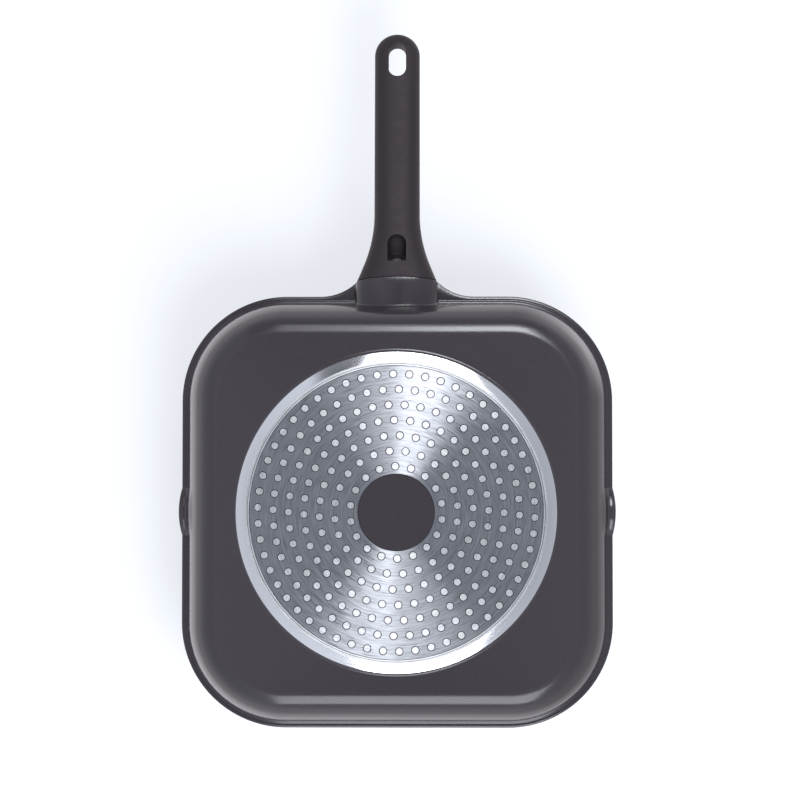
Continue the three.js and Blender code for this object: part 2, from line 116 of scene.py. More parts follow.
class BodySizes(bpy.types.PropertyGroup):
    __annotations__ = lengths(
        width=(0.28, "Across the rim, between two straight sides"),
        corner=(0.068, "Radius of the rim's corners in plan"),
        height=(0.044, "From the hob to the top of the rim"),
        floor=(0.005, "Thickness of the floor"),
        wall=(0.0032, "Thickness of the side wall"),
        outer_fillet=(0.0169, "Radius from the base into the wall"),
        inner_fillet=(0.012, "Radius from the floor into the wall"),
        flange_reach=(0.0046, "How far the rim stands out from the wall"),
        flange_thickness=(0.003, "Thickness of the rim"),
        rim_round=(0.0007, "Radius on the rim's edges"),
        lip_round=(0.0014, "Radius on the rim's inner edge"),
        under_round=(0.0003, "Radius where the rim's underside meets the wall"),
        flange_groove=(0.0002, "Depth of the shallow groove along the rim's underside"),
        spout_length=(0.031, "Length of a pour spout along the rim"),
        spout_dip=(0.006, "How far the rim drops at a spout"),
        spout_bulge=(0.0016, "How far the rim stands out at a spout"),
        wing_fillet=(0.034, "Radius of the rim's sweep into the lug"),
        wing_foot=(0.05, "Where that sweep starts, from the middle of the rim"),
        rib_pitch=(0.014, "Spacing of the grill ribs"),
        rib_width=(0.0065, "Width of a grill rib"),
        rib_height=(0.004, "Height of a grill rib over the floor"),
        rib_round=(0.0014, "Radius on a rib's top edge and at its foot"),
        gutter=(0.009, "Plain floor round the ribs"),
    ) | angles(
        draft=(11, "Lean of the side wall inside"),
        top_lean=(3, "Lean of the side wall outside, under the rim"),
        foot_lean=(25, "Lean of the side wall outside, where its foot rounds off"),
        flange_slope=(11, "Slope of the rim's underside"),
    ) | colours(
        coating=((0.0505, 0.0432, 0.051), "Colour of the non-stick coating"),
    )


class PadSizes(bpy.types.PropertyGroup):
    __annotations__ = lengths(
        plate_radius=(0.0928, "Outer radius of the induction plate"),
        plate_thickness=(0.0006, "Thickness of the induction plate"),
        boss_radius=(0.0242, "Radius of the plain disc in the middle"),
        boss_setback=(0.0002, "How far the disc stays back from the hob"),
        land=(0.0025, "Width of the flat ring round the plate"),
        chamfer_width=(0.006, "Width of the turned band"),
        chamfer_height=(0.0018, "Rise of the turned band"),
        step_cove=(0.003, "Radius of the hollow round the band"),
        step_height=(0.0012, "Rise of the coated step"),
        ring_pitch=(0.00973, "Spacing of the rings of studs"),
        stud_radius=(0.0022, "Radius of a stud"),
        stud_gap=(0.00048, "Dark gap round a stud"),
    ) | counts(
        first_ring=(3, "Number of the innermost ring of studs"),
        last_ring=(9, "Number of the outermost ring of studs"),
        studs_per_ring=(6, "Studs that each ring has more than the last"),
    ) | angles(
        pattern_turn=(8.74, "Bearing of the first stud"),
    ) | colours(
        steel=((0.358, 0.368, 0.386), "Colour of the induction plate"),
        aluminium=((0.92, 0.92, 0.93), "Colour of the bare turned aluminium"),
    )


class HandleSizes(bpy.types.PropertyGroup):
    __annotations__ = lengths(
        length=(0.1664, "From the joint to the tip"),
        grip_width=(0.0296, "Width of the grip"),
        root_width=(0.0524, "Width at the joint"),
        flare=(0.044, "Length of the flare at the root"),
        root_thickness=(0.022, "Thickness at the joint"),
        tip_thickness=(0.0155, "Thickness at the tip"),
        slot_width=(0.0115, "Width of the hanging slot"),
        slot_length=(0.0235, "Length of the hanging slot"),
        slot_from_tip=(0.0068, "Material between slot and tip"),
        slot_round=(0.0008, "Radius on the slot's edges"),
        lug_reach=(0.0098, "How far the lug stands out from the rim"),
        lug_fillet=(0.0008, "Radius from the lug into the wall"),
        lug_spread=(0.0015, "Extra width of the lug at the wall"),
        joint_drop=(0.01, "From the top of the rim down to the middle of the joint"),
        joint_gap=(0.0003, "Gap between lug and handle"),
        joint_round=(0.0005, "Radius on the handle's edge at the joint"),
        joint_bow=(0.0014, "How far the joint bends back at its sides"),
        tenon_width=(0.032, "Width of the lug's tenon"),
        tenon_thickness=(0.0125, "Thickness of the lug's tenon"),
        tenon_length=(0.0036, "Length of the lug's tenon"),
        tenon_drop=(-0.00026, "Middle of the tenon, under the middle of the joint"),
        pocket_from_root=(0.0106, "From the joint to the screw pocket"),
        pocket_length=(0.01774, "Length of the screw pocket"),
        pocket_half_width=(0.00605, "Half the width of the screw pocket"),
        pocket_depth=(0.0115, "Depth of the screw pocket at its end wall"),
        mouth_radius=(0.0047, "Half the height of the pocket's end wall"),
        seat_radius=(0.0044, "Radius of the screw's tunnel"),
        tunnel=(0.0056, "Depth of the screw's tunnel"),
    ) | angles(
        rise=(8, "Slope of the handle"),
        screw_tilt=(32, "Slope of the screw against the handle"),
    ) | numbers(
        power=(2.6, "Squareness of the section, 2 is an ellipse"),
        foot_power=(2.05, "The same for the lug's section at the wall"),
    ) | colours(
        # Painted shade: a slightly darker copy of the skin colour, given to the inside of the screw pocket
        raw=((0.0275, 0.0219, 0.0256), "Colour of the bare moulding inside the pocket"),
        skin=((0.0292, 0.0235, 0.0257), "Colour of the soft-touch moulding"),
    )


class FixingSizes(bpy.types.PropertyGroup):
    __annotations__ = lengths(
        screw_radius=(0.0025, "Radius of the screw's thread"),
        screw_length=(0.02, "Length of the screw under its head"),
        thread_pitch=(0.0008, "Pitch of the screw's thread"),
        head_radius=(0.004, "Radius of the screw's head"),
        head_height=(0.0028, "Height of the screw's head"),
        recess_span=(0.0048, "Width of the cross recess"),
        recess_blade=(0.001, "Width of one arm of the recess"),
        recess_depth=(0.0018, "Depth of the cross recess"),
        clearance=(0.0003, "Gap round the thread"),
        seat_gap=(0.0002, "Gap between seat, washers and head"),
        washer_band=(0.0013, "Width of the flat washer's ring"),
        washer_thickness=(0.0008, "Thickness of the flat washer"),
        spring_band=(0.001, "Width of the spring washer's ring"),
        spring_thickness=(0.001, "Thickness of the spring washer"),
        insert_wall=(0.0009, "Wall of the thread insert"),
        insert_length=(0.009, "Length of the thread insert"),
        insert_setback=(0.0008, "From the screw's end to the insert's end"),
    ) | angles(
        spring_split=(14, "Opening of the spring washer"),
    ) | colours(
        zinc=((0.42, 0.43, 0.45), "Colour of the plated steel"),
    )


class StageSizes(bpy.types.PropertyGroup):
    __annotations__ = places(
        camera_place=((-0.02, 0.0209, -1.4), "Where the camera stands"),
    ) | angles(
        camera_tilt=(2.05, "Turn of the camera towards the handle"),
        camera_pan=(0.72, "Turn of the camera to the side"),
    ) | numbers(
        lens=(99.675, "Focal length in millimetres"),
        far_power=(5.3, "Watts of the lamp on the handle's side"),
        side_power=(6, "Watts of the smaller lamp in front of that"),
        near_power=(13.5, "Watts of the lamp on the side away from the handle"),
        shade_power=(7.6, "Watts of the lamp that lights the backdrop only"),
        top_power=(20, "Watts of the lamp over the pan"),
        room_left=(0.51, "Brightness of the room at the left of the picture, as seen in metal"),
        room_right=(0.375, "Brightness of the room at the right of the picture"),
        room_middle=(0.12, "Brightness of the room behind the camera"),
        room_spread=(0.5, "How much that dark middle widens towards the handle"),
        room_horizon=(0.4, "Extra brightness of the room at the height of the pan"),
        room_corner=(1.1, "Extra brightness of the room's corner at the handle's right"),
        fill=(0.27, "Brightness of the light from all round"),
    ) | lengths(
        backdrop_height=(0.12, "Height of the white sheet behind the pan"),
    ) | colours(
        light=((0.92, 0.94, 1.0), "Colour of the lamps"),
        walls=((0.83, 0.88, 1.0), "Colour of the room"),
        haze=((0.965, 0.935, 1.0), "Colour of the room above the pan's base"),
        paper=((0.88, 0.905, 0.96), "Colour of floor and backdrop"),
    )


def sizes(context):
    return context.scene.grill_pan


class PanSettings(bpy.types.PropertyGroup):
    body: PointerProperty(type=BodySizes, name="Body", description="The casting")
    pad: PointerProperty(type=PadSizes, name="Pad", description="The base's pad and plate")
    handle: PointerProperty(type=HandleSizes, name="Handle", description="Handle and lug")
    fixing: PointerProperty(type=FixingSizes, name="Fixing", description="Screw, washers and insert")
    stage: PointerProperty(type=StageSizes, name="Stage", description="Camera, lamps and backdrop")


# Modelling by hand

def fresh(*chosen):
    """Goes to object mode with only the chosen objects selected, the first of them active."""
    if bpy.context.mode != "OBJECT":
        bpy.ops.object.mode_set(mode="OBJECT")
    bpy.ops.object.select_all(action="DESELECT")
    for item in chosen:
        item.select_set(True)
    if chosen:
        bpy.context.view_layer.objects.active = chosen[0]


def start(name, corners, fill="NGON"):
    """A new object with one face or bare loop on the corners, left in edit mode with all selected."""
    fresh()
    bpy.ops.mesh.primitive_circle_add(vertices=len(corners), radius=0.01, fill_type=fill, calc_uvs=False)
    piece = bpy.context.active_object
    piece.name = piece.data.name = name
    for vertex, corner in zip(piece.data.vertices, corners):
        vertex.co = corner
    bpy.ops.object.mode_set(mode="EDIT")
    bpy.ops.mesh.select_mode(type="FACE" if fill == "NGON" else "EDGE")
    bpy.ops.mesh.select_all(action="SELECT")
    return piece


def pick(piece, kind, test):
    """Selects the faces, edges or vertices that pass a test."""
    bpy.ops.mesh.select_mode(type=kind)
    bpy.ops.mesh.select_all(action="DESELECT")
    mesh = bmesh.from_edit_mesh(piece.data)
    for item in {"FACE": mesh.faces, "EDGE": mesh.edges, "VERT": mesh.verts}[kind]:
        item.select_set(test(item))
    mesh.select_flush_mode()
    bmesh.update_edit_mesh(piece.data)


def inset_along(profile, facing):
    """Insets the selected face from ring to ring of a profile of half widths and heights."""
    for (half, z), (next_half, next_z) in zip(profile, profile[1:]):
        bpy.ops.mesh.inset(thickness=half - next_half, depth=(next_z - z) * facing)


def loft(piece, corners, sections):
    """Extrudes the selected face from section to section, each with its corners in the same order."""
    for section in sections:
        bpy.ops.mesh.extrude_region_move()
        tree = kdtree.KDTree(len(corners))
        for i, corner in enumerate(corners):
            tree.insert(corner, i)
        tree.balance()
        mesh = bmesh.from_edit_mesh(piece.data)
        for vertex in [v for v in mesh.verts if v.select]:
            vertex.co = section[tree.find(vertex.co)[1]]
        bmesh.update_edit_mesh(piece.data)
        corners = section


def close_up(piece):
    """Merges what lies together, turns every face outwards and goes back to object mode."""
    bpy.ops.mesh.select_all(action="SELECT")
    bpy.ops.mesh.remove_doubles(threshold=TOUCH)
    bpy.ops.mesh.delete_loose()
    bpy.ops.mesh.select_all(action="SELECT")
    bpy.ops.mesh.normals_make_consistent(inside=False)
    fresh(piece)
    return piece


def solid(name, corners, sections):
    """A closed lofted solid."""
    piece = start(name, corners)
    loft(piece, corners, sections)
    return close_up(piece)


def modify(piece, kind, **settings):
    """Applies a modifier with its settings."""
    fresh(piece)
    bpy.ops.object.modifier_add(type=kind)
    modifier = piece.modifiers[-1]
    for key, value in settings.items():
        setattr(modifier, key, value)
    bpy.ops.object.modifier_apply(modifier=modifier.name)


def combine(piece, other, operation):
    """Adds another object to a piece, or cuts the piece with it. The other object is used up."""
    modify(piece, "BOOLEAN", operation=operation, solver="EXACT", object=other)
    bpy.data.objects.remove(other)


def join(pieces):
    fresh(*pieces)
    bpy.ops.object.join()
    return pieces[0]


def settle(piece, matrix):
    """Sets a piece into its frame and leaves it unmoved at the origin."""
    fresh(piece)
    piece.matrix_world = matrix
    bpy.ops.object.transform_apply(location=True, rotation=True, scale=True)


def turned(name, profile, matrix, steps=48, sweep=FULL_TURN):
    """A solid turned about Y from a loop of radius and height pairs."""
    whole = sweep == FULL_TURN
    piece = start(name, [(radius, y, 0) for radius, y in profile], fill="NOTHING" if whole else "NGON")
    bpy.ops.mesh.spin(steps=steps, angle=sweep, center=(0, 0, 0), axis=(0, 1, 0))
    close_up(piece)
    settle(piece, matrix)
    return piece


def ring_of(piece, copies):
    """Repeats a piece evenly about the vertical axis."""
    fresh()
    bpy.ops.object.empty_add()
    pivot = bpy.context.active_object
    pivot.rotation_euler.z = FULL_TURN / copies
    modify(piece, "ARRAY", count=copies, use_relative_offset=False, use_object_offset=True,
           offset_object=pivot)
    bpy.data.objects.remove(pivot)


def hand_over(piece, node, materials, smooth=32):
    """Shades a finished piece, gives it its materials and hangs it on the CAD frame."""
    fresh(piece)
    bpy.ops.object.shade_smooth_by_angle(angle=math.radians(smooth))
    piece.data.materials.clear()
    for material in materials:
        piece.data.materials.append(material)
    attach(piece, "root")
    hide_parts(node)


# Curves

def spread(low, high, steps):
    """Evenly spaced values, both ends included."""
    return [low + (high - low) * i / steps for i in range(steps + 1)]


def arc(centre, radius, first, last, steps):
    """Points on a circle as pairs, from one angle to another."""
    return [(centre[0] + radius * math.cos(t), centre[1] + radius * math.sin(t))
            for t in spread(first, last, steps)]


def arc_height(chord, sagitta, distance):
    """How far a circular arc stands off its chord at a distance from the chord's middle."""
    radius = (chord * chord / 4 + sagitta * sagitta) / (2 * sagitta)
    return math.sqrt(max(0, radius * radius - distance * distance)) - (radius - sagitta)


def stadium(width, long, centre, steps):
    """A slot outline with round ends along Y, anticlockwise."""
    radius = width / 2
    reach = long / 2 - radius
    far = arc((0, centre + reach), radius, 0, math.pi, steps)
    near = arc((0, centre - reach), radius, math.pi, FULL_TURN, steps)
    return far + near


def soften(value, power):
    """A sine or cosine, bent so that a circle made with it turns squarer."""
    return math.copysign(abs(value) ** (2 / power), value)


def oblong(half_width, half_thickness, power, turns):
    """Points of a rounded oblong about the origin as pairs, one for each turn. A power of 2 is an ellipse."""
    return [(half_width * soften(math.cos(t), power), half_thickness * soften(math.sin(t), power))
            for t in turns]


def whole_turn(points):
    return spread(0, FULL_TURN, points)[:-1]


def circle(radius, z, sides, centre=(0, 0)):
    """Corners of a level circle."""
    return [Vector((x, y, z)) for x, y in arc(centre, radius, 0, FULL_TURN, sides)[:-1]]


# Frames that the pieces share

def handle_frame(size):
    """The middle of the joint, with +Y along the handle."""
    body, handle = size.body, size.handle
    place = Vector((0, body.width / 2 + handle.lug_reach, body.height - handle.joint_drop))
    return Matrix.Translation(place) @ Matrix.Rotation(handle.rise, 4, "X")


def thickness_at(handle, along):
    return handle.root_thickness + (handle.tip_thickness - handle.root_thickness) * along / handle.length


def pocket_lines(handle):
    """Foot of the pocket's end wall, the way up it and the way out of the pocket, in the handle's frame."""
    foot = Vector((handle.pocket_from_root, -thickness_at(handle, handle.pocket_from_root) / 2))
    up = Vector((math.sin(handle.screw_tilt), math.cos(handle.screw_tilt)))
    out = Vector((math.cos(handle.screw_tilt), -math.sin(handle.screw_tilt)))
    return foot, up, out


def screw_frame(size):
    """The middle of the screw's seat, with +Y along the screw into the lug."""
    handle = size.handle
    foot, up, out = pocket_lines(handle)
    seat = foot + up * handle.mouth_radius - out * handle.tunnel
    turn = Matrix.Rotation(math.pi - handle.screw_tilt, 4, "X")
    return handle_frame(size) @ (Matrix.Translation((0, seat.x, seat.y)) @ turn)


def head_face(fixing):
    """Where the screw's head sits on its washers, along the screw."""
    return -3 * fixing.seat_gap - fixing.washer_thickness - fixing.spring_thickness


# Casting

def wall_line(body, half, z):
    """Half width of a drafted wall at a height, where it passes through a half width under the rim."""
    return half - (body.height - body.flange_thickness - z) * math.tan(body.draft)


def wall_halves(body):
    """Half widths of the wall outside and inside, under the rim."""
    outer = body.width / 2 - body.flange_reach
    return outer, outer - body.wall / math.cos(body.draft)


def floor_fillet(body, half, floor, radius, steps):
    """The fillet from the wall down into a floor."""
    centre_z = floor + radius
    tangent_z = centre_z - radius * math.sin(body.draft)
    centre_half = wall_line(body, half, tangent_z) - radius * math.cos(body.draft)
    return arc((centre_half, centre_z), radius, -body.draft, -RIGHT_ANGLE, steps)


def lip_fillet(half, z, radius, lean, steps):
    """The small round between a level face and the leaning wall under it."""
    centre = (half + radius * (1 - math.sin(lean)) / math.cos(lean), z - radius)
    return arc(centre, radius, RIGHT_ANGLE, math.pi - lean, steps)


def base_height(pad):
    """From the hob to the coated base."""
    return pad.chamfer_height + pad.step_height


def wall_curve(size):
    """Centre and radius of the long curve that the wall follows outside."""
    body = size.body
    z = body.height - body.flange_thickness
    rise = z - base_height(size.pad) - body.outer_fillet * (1 - math.sin(body.foot_lean))
    radius = rise / (math.sin(body.foot_lean) - math.sin(body.top_lean))
    half = wall_halves(body)[0]
    return (half - radius * math.cos(body.top_lean), z + radius * math.sin(body.top_lean)), radius


def outer_wall(size):
    """The wall outside: a long curve down from the rim, then the fillet into the base."""
    body = size.body
    centre, radius = wall_curve(size)
    wall = arc(centre, radius, -body.top_lean, -body.foot_lean, 10)
    half, z = wall[-1]
    fillet = body.outer_fillet
    foot = (half - fillet * math.cos(body.foot_lean), z + fillet * math.sin(body.foot_lean))
    return wall + arc(foot, fillet, -body.foot_lean, -RIGHT_ANGLE, 12)[1:]


def pad_radius(pad):
    """Outer radius of the turned band."""
    return pad.plate_radius + PLATE_FIT + pad.land + pad.chamfer_width


def rim_outline(body):
    """The rim in plan, anticlockwise, with more points at the spouts and beside the lug."""
    half = body.width / 2
    centre = half - body.corner
    # Places along a side, from its middle
    outer = [0.026, 0.035, 0.045, 0.057]
    spout = [-s for s in reversed(outer)] + spread(-body.spout_length / 2, body.spout_length / 2, 24) + outer
    wing = [0.0225, 0.0243, 0.0262] + spread(0.0284, 0.0504, 10) + [0.0575]
    lug = [-s for s in reversed(wing)] + [-0.011, 0, 0.011] + wing
    plain = spread(-centre, centre, 34)[1:-1]
    points = []
    for quarter, stations in enumerate([spout, lug, spout, plain]):
        turn = Matrix.Rotation(quarter * RIGHT_ANGLE, 2)
        corner = arc((centre, centre), body.corner, 0, RIGHT_ANGLE, 32)
        points += [turn @ Vector(p) for p in [(half, s) for s in stations] + corner]
    return points


def wing_reach(size, x):
    """How far the rim stands out beside the lug: to the joint at its corners, and less between them."""
    body, handle = size.body, size.handle
    corner = handle.root_width / 2
    into = body.wing_foot - max(abs(x), corner)
    if into <= 0:
        return 0
    reach = body.wing_fillet - math.sqrt(body.wing_fillet ** 2 - into * into)
    short = handle.lug_reach - handle.joint_drop * math.tan(handle.rise) - WING_GAP
    return max(min(short, reach), reach - max(0, corner - abs(x)))


def shape_rim(size, piece):
    """Bends the rim down along the wall and out at the spouts, and out beside the lug."""
    body = size.body
    flange = body.height - body.flange_thickness
    wall_foot = base_height(size.pad) + body.outer_fillet
    inner, outer = wall_halves(body)[0], body.width / 2 - body.rim_round
    side = body.width * 0.4
    for vertex in piece.data.vertices:
        x, y, z = vertex.co
        if z <= wall_foot:
            continue
        if abs(x) > side and abs(y) < body.spout_length / 2 - TOUCH:
            share = min(1, (z - wall_foot) / (flange - wall_foot))
            dip = arc_height(body.spout_length, body.spout_dip, y) * share
            bulge = arc_height(body.spout_length, body.spout_bulge, y) * share
            out = min(1, max(0, (abs(x) - inner) / (outer - inner)))
            vertex.co.x += math.copysign(out * bulge - (1 - out) * dip * math.tan(body.draft), x)
            vertex.co.z -= dip
        if y > outer - body.rim_round:
            vertex.co.y += wing_reach(size, x)


def shell(size):
    """The rim, the wall inside and out, the floor and the base as one closed skin."""
    body, pad = size.body, size.pad
    half = body.width / 2
    round_ = body.rim_round
    top, flange = body.height, body.height - body.flange_thickness
    outer, inner = wall_halves(body)
    outline = rim_outline(body)
    slope = body.flange_slope
    edge = flange + (half - round_ - outer) * math.tan(slope) + round_ / math.cos(slope)
    piece = start("casting", [(x, y, edge) for x, y in outline])
    bpy.ops.mesh.extrude_region_move(TRANSFORM_OT_translate={"value": (0, 0, top - round_ - edge)})
    inside = arc((half - round_, top - round_), round_, 0, RIGHT_ANGLE, 4)
    inside += lip_fillet(wall_line(body, inner, top), top, body.lip_round, body.draft, 5)
    inside += floor_fillet(body, inner, base_height(pad) + body.floor, body.inner_fillet, 10)
    inset_along(inside, 1)

    def first_face(face):
        return len(face.verts) == len(outline) and abs(face.calc_center_median().z - edge) < TOUCH

    pick(piece, "FACE", first_face)
    outside = arc((half - round_, edge), round_, 0, slope - RIGHT_ANGLE, 4)
    wide = half - round_ - outer
    # Shares of the rim's width and of the groove's depth
    groove = [(0.9, 0), (0.7, 0), (0.61, 0.7), (0.52, 1), (0.43, 0.7), (0.34, 0)]
    for share, deep in groove + [(body.under_round / wide, 0)]:
        z = flange + wide * share * math.tan(slope) + deep * body.flange_groove
        outside.append((outer + wide * share, z))
    (wall_top, wall_z), *wall = outer_wall(size)
    outside += [(wall_top, wall_z - body.under_round)] + wall
    inset_along(outside, -1)
    base_pad(size, piece)
    close_up(piece)
    shape_rim(size, piece)
    return piece


def round_off(piece, radius):
    """Moves the corners of the selected face onto a circle, evenly spaced from the +X axis on."""
    mesh = bmesh.from_edit_mesh(piece.data)
    face = next(f for f in mesh.faces if f.select)
    corners = [loop.vert for loop in face.loops]
    first = min(range(len(corners)), key=lambda i: abs(math.atan2(corners[i].co.y, corners[i].co.x)))
    way = math.copysign(FULL_TURN / len(corners), face.normal.z)
    for i, corner in enumerate(corners[first:] + corners[:first]):
        corner.co.xy = radius * math.cos(i * way), radius * math.sin(i * way)
    bmesh.update_edit_mesh(piece.data)


def base_pad(size, piece):
    """Turns the middle of the base into the round pad: step, band, land, the plate's recess and the boss."""
    pad = size.pad
    bottom = base_height(pad)
    radius = pad_radius(pad)
    land = radius - pad.chamfer_width
    margin = 0.002
    bpy.ops.mesh.inset(thickness=margin, depth=0)
    turn = math.acos(1 - pad.step_height / pad.step_cove)
    start_radius = radius + pad.step_cove * math.sin(turn)
    round_off(piece, start_radius)
    cove = arc((start_radius, bottom - pad.step_cove), pad.step_cove, RIGHT_ANGLE, RIGHT_ANGLE + turn, 8)
    hollow, boss_round = 0.00008, 0.00015
    groove, groove_width, groove_draft = land - 0.0013, 0.00028, 0.00002
    over_plate = 0.00005
    recess, recess_top = land - pad.land, pad.plate_thickness + over_plate
    profile = cove + [
        (radius - pad.chamfer_width / 2, pad.chamfer_height / 2 - hollow),
        (land + EDGE_BREAK, 0.4 * EDGE_BREAK),
        (land - EDGE_BREAK, 0),
        (groove, 0),
        (groove - groove_draft, pad.plate_thickness),
        (groove - groove_width + groove_draft, pad.plate_thickness),
        (groove - groove_width, 0),
        (recess + EDGE_BREAK, 0),
        (recess, EDGE_BREAK),
        (recess, recess_top),
        (pad.boss_radius, recess_top),
        (pad.boss_radius, pad.boss_setback + boss_round),
        (pad.boss_radius - boss_round, pad.boss_setback),
    ]
    inset_along(profile, -1)


def grill_ribs(size):
    """Bars along the pan with round tops and round feet."""
    body = size.body
    floor = base_height(size.pad) + body.floor
    inner = wall_halves(body)[1]
    fillet = floor_fillet(body, inner, floor, body.inner_fillet, 2)
    centre = body.width / 2 - body.corner
    end_half = fillet[-1][0] - body.gutter
    end_radius = end_half - centre
    each_side = math.floor((end_half - body.rib_width / 2) / body.rib_pitch)
    ribs = []
    for i in range(-each_side, each_side + 1):
        x = i * body.rib_pitch
        into = max(0, abs(x) + body.rib_width / 2 - centre)
        reach = centre + math.sqrt(end_radius * end_radius - into * into)
        foot = body.rib_round
        outline = stadium(body.rib_width + 2 * foot, 2 * (reach + foot), 0, 12)
        rib = start("rib", [(x + px, py, floor - RIB_SINK) for px, py in outline])
        low = arc((foot, floor + foot), foot, -RIGHT_ANGLE, -math.pi, 4)
        high = arc((-foot, floor + body.rib_height - foot), foot, 0, RIGHT_ANGLE, 4)
        profile = [(foot, floor - RIB_SINK)] + [(h, z - RIB_OVERLAP) for h, z in low] + high
        bpy.ops.mesh.extrude_region_move()
        inset_along(profile, 1)
        ribs.append(close_up(rib))
    return join(ribs)


def bowed(handle, x, along):
    """Bends a place near the joint back towards the pan, more at the sides."""
    near = max(0, 1 - abs(along) / BOW_REACH)
    return along - handle.joint_bow * near * (2 * x / handle.root_width) ** 2


def lug_block(size):
    """The lug from its joint face to inside the wall. Its section gets rounder on the way."""
    body, handle = size.body, size.handle
    frame_matrix = handle_frame(size)
    half_width, half_thickness = handle.root_width / 2, handle.root_thickness / 2
    (wall_half, wall_z), wall_radius = wall_curve(size)
    turns = whole_turn(LUG_SIDES)
    # Rings behind the joint: how many, where the first is and how far apart, and how much each gets thinner
    levels, nearest, apart, thinner = 4, 0.0012, 0.003, 0.0002
    foot_thinner, lift_share, stand_off_share = 0.001, 0.1, 1.6

    def joint(scale):
        ring = oblong(half_width * scale, half_thickness * scale, handle.power, turns)
        return [frame_matrix @ Vector((x, bowed(handle, x, 0), z)) for x, z in ring]

    def level(grow, along, lift, power):
        ring = oblong(half_width + grow, half_thickness + grow - lift, power, turns)
        place = frame_matrix.translation + Vector((0, along, lift * lift_share))
        return [place + Vector((x, 0, z)) for x, z in ring]

    def on_wall(grow, stand_off):
        ring = []
        for point in level(grow + handle.lug_spread / 2, 0, foot_thinner, handle.foot_power):
            wall = wall_half + math.sqrt(wall_radius ** 2 - (wall_z - point.z) ** 2)
            ring.append(Vector((point.x, wall + stand_off, point.z)))
        return ring

    fillet = handle.lug_fillet
    first, *sections = [joint(scale) for scale in CAP_SHARES]
    for i in range(levels):
        power = handle.power + (handle.foot_power - handle.power) * i / (levels - 1)
        sections.append(level(handle.lug_spread / 4, -nearest - apart * i, thinner * (1 + i), power))
    sections.append(on_wall(0, fillet * stand_off_share))
    for t in spread(0, RIGHT_ANGLE, 4):
        sections.append(on_wall(fillet * (1 - math.cos(t)), fillet * (1 - math.sin(t))))
    sections.append(on_wall(fillet, -body.wall / 2))
    return solid("lug", first, sections)


def tenon(size, clearance, name):
    """The lug's tenon, or with a clearance the socket for it, in the handle's frame."""
    handle = size.handle
    corner = TENON_CORNER + clearance
    half = handle.tenon_width / 2 + clearance
    rise = handle.tenon_thickness / 2 + clearance
    outline = []
    for quarter in range(4):
        middle = (quarter + 0.5) * RIGHT_ANGLE
        across = math.copysign(half - corner, math.cos(middle))
        up = math.copysign(rise - corner, math.sin(middle))
        outline += arc((across, up), corner, quarter * RIGHT_ANGLE, (quarter + 1) * RIGHT_ANGLE, 6)

    def ring(along):
        return [Vector((x, along, z - handle.tenon_drop)) for x, z in outline]

    return solid(name, ring(-OVERRUN / 2), [ring(handle.tenon_length + clearance)])


def rod(name, radius, low, high, matrix):
    return turned(name, [(0, low), (radius, low), (radius, high), (0, high)], matrix)


class GRILLPAN_OT_body(bpy.types.Operator):
    """Model the casting: shell, rim, spouts, ribs, lug and pad"""
    bl_idname = "grill_pan.body"
    bl_label = "Pan body"

    def execute(self, context):
        size = sizes(context)
        piece = shell(size)
        lug = lug_block(size)
        tongue = tenon(size, 0, "tongue")
        settle(tongue, handle_frame(size))
        combine(lug, tongue, "UNION")
        combine(piece, lug, "UNION")
        fixing = size.fixing
        bore = fixing.screw_radius + 2 * fixing.clearance + fixing.insert_wall
        past_screw = 0.0015
        end = head_face(fixing) + fixing.screw_length + past_screw
        combine(piece, rod("bore", bore, 0, end, screw_frame(size)), "DIFFERENCE")
        combine(piece, grill_ribs(size), "UNION")
        pad = size.pad
        metals = [coated(size), bare(size), stud_metal(pad)]
        hand_over(piece, "pan_body", metals, smooth=25)
        radius = pad_radius(pad)
        land = radius - pad.chamfer_width
        for face in piece.data.polygons:
            out = Vector(face.center[:2]).length
            if land < out < radius and face.center.z < pad.chamfer_height - FACE_SLACK:
                face.material_index = 1
            elif pad.plate_radius < out <= land and face.center.z < pad.plate_thickness / 2 - FACE_SLACK:
                face.material_index = 2
        return {"FINISHED"}


class GRILLPAN_OT_studs(bpy.types.Operator):
    """Model the studs that fill the plate's holes"""
    bl_idname = "grill_pan.studs"
    bl_label = "Studs"

    def execute(self, context):
        size = sizes(context)
        pad = size.pad
        sunk, setback = 0.0004, 0.00002
        piece = round_rings(size, pad.stud_radius, pad.plate_thickness + sunk, setback, "studs")
        hand_over(piece, "pan_body", [stud_metal(pad)])
        return {"FINISHED"}


def round_rings(size, radius, top, bottom, name):
    """Round pegs on every ring of the pattern, joined into one object."""
    pad = size.pad
    rings = []
    for ring in range(pad.first_ring, pad.last_ring + 1):
        out = ring * pad.ring_pitch
        middle = (out * math.cos(pad.pattern_turn), out * math.sin(pad.pattern_turn))
        peg = solid(name, circle(radius, top, STUD_SIDES, middle), [
            circle(radius, bottom + STUD_EDGE, STUD_SIDES, middle),
            circle(radius - STUD_EDGE, bottom, STUD_SIDES, middle),
        ])
        ring_of(peg, ring * pad.studs_per_ring)
        rings.append(peg)
    return join(rings)


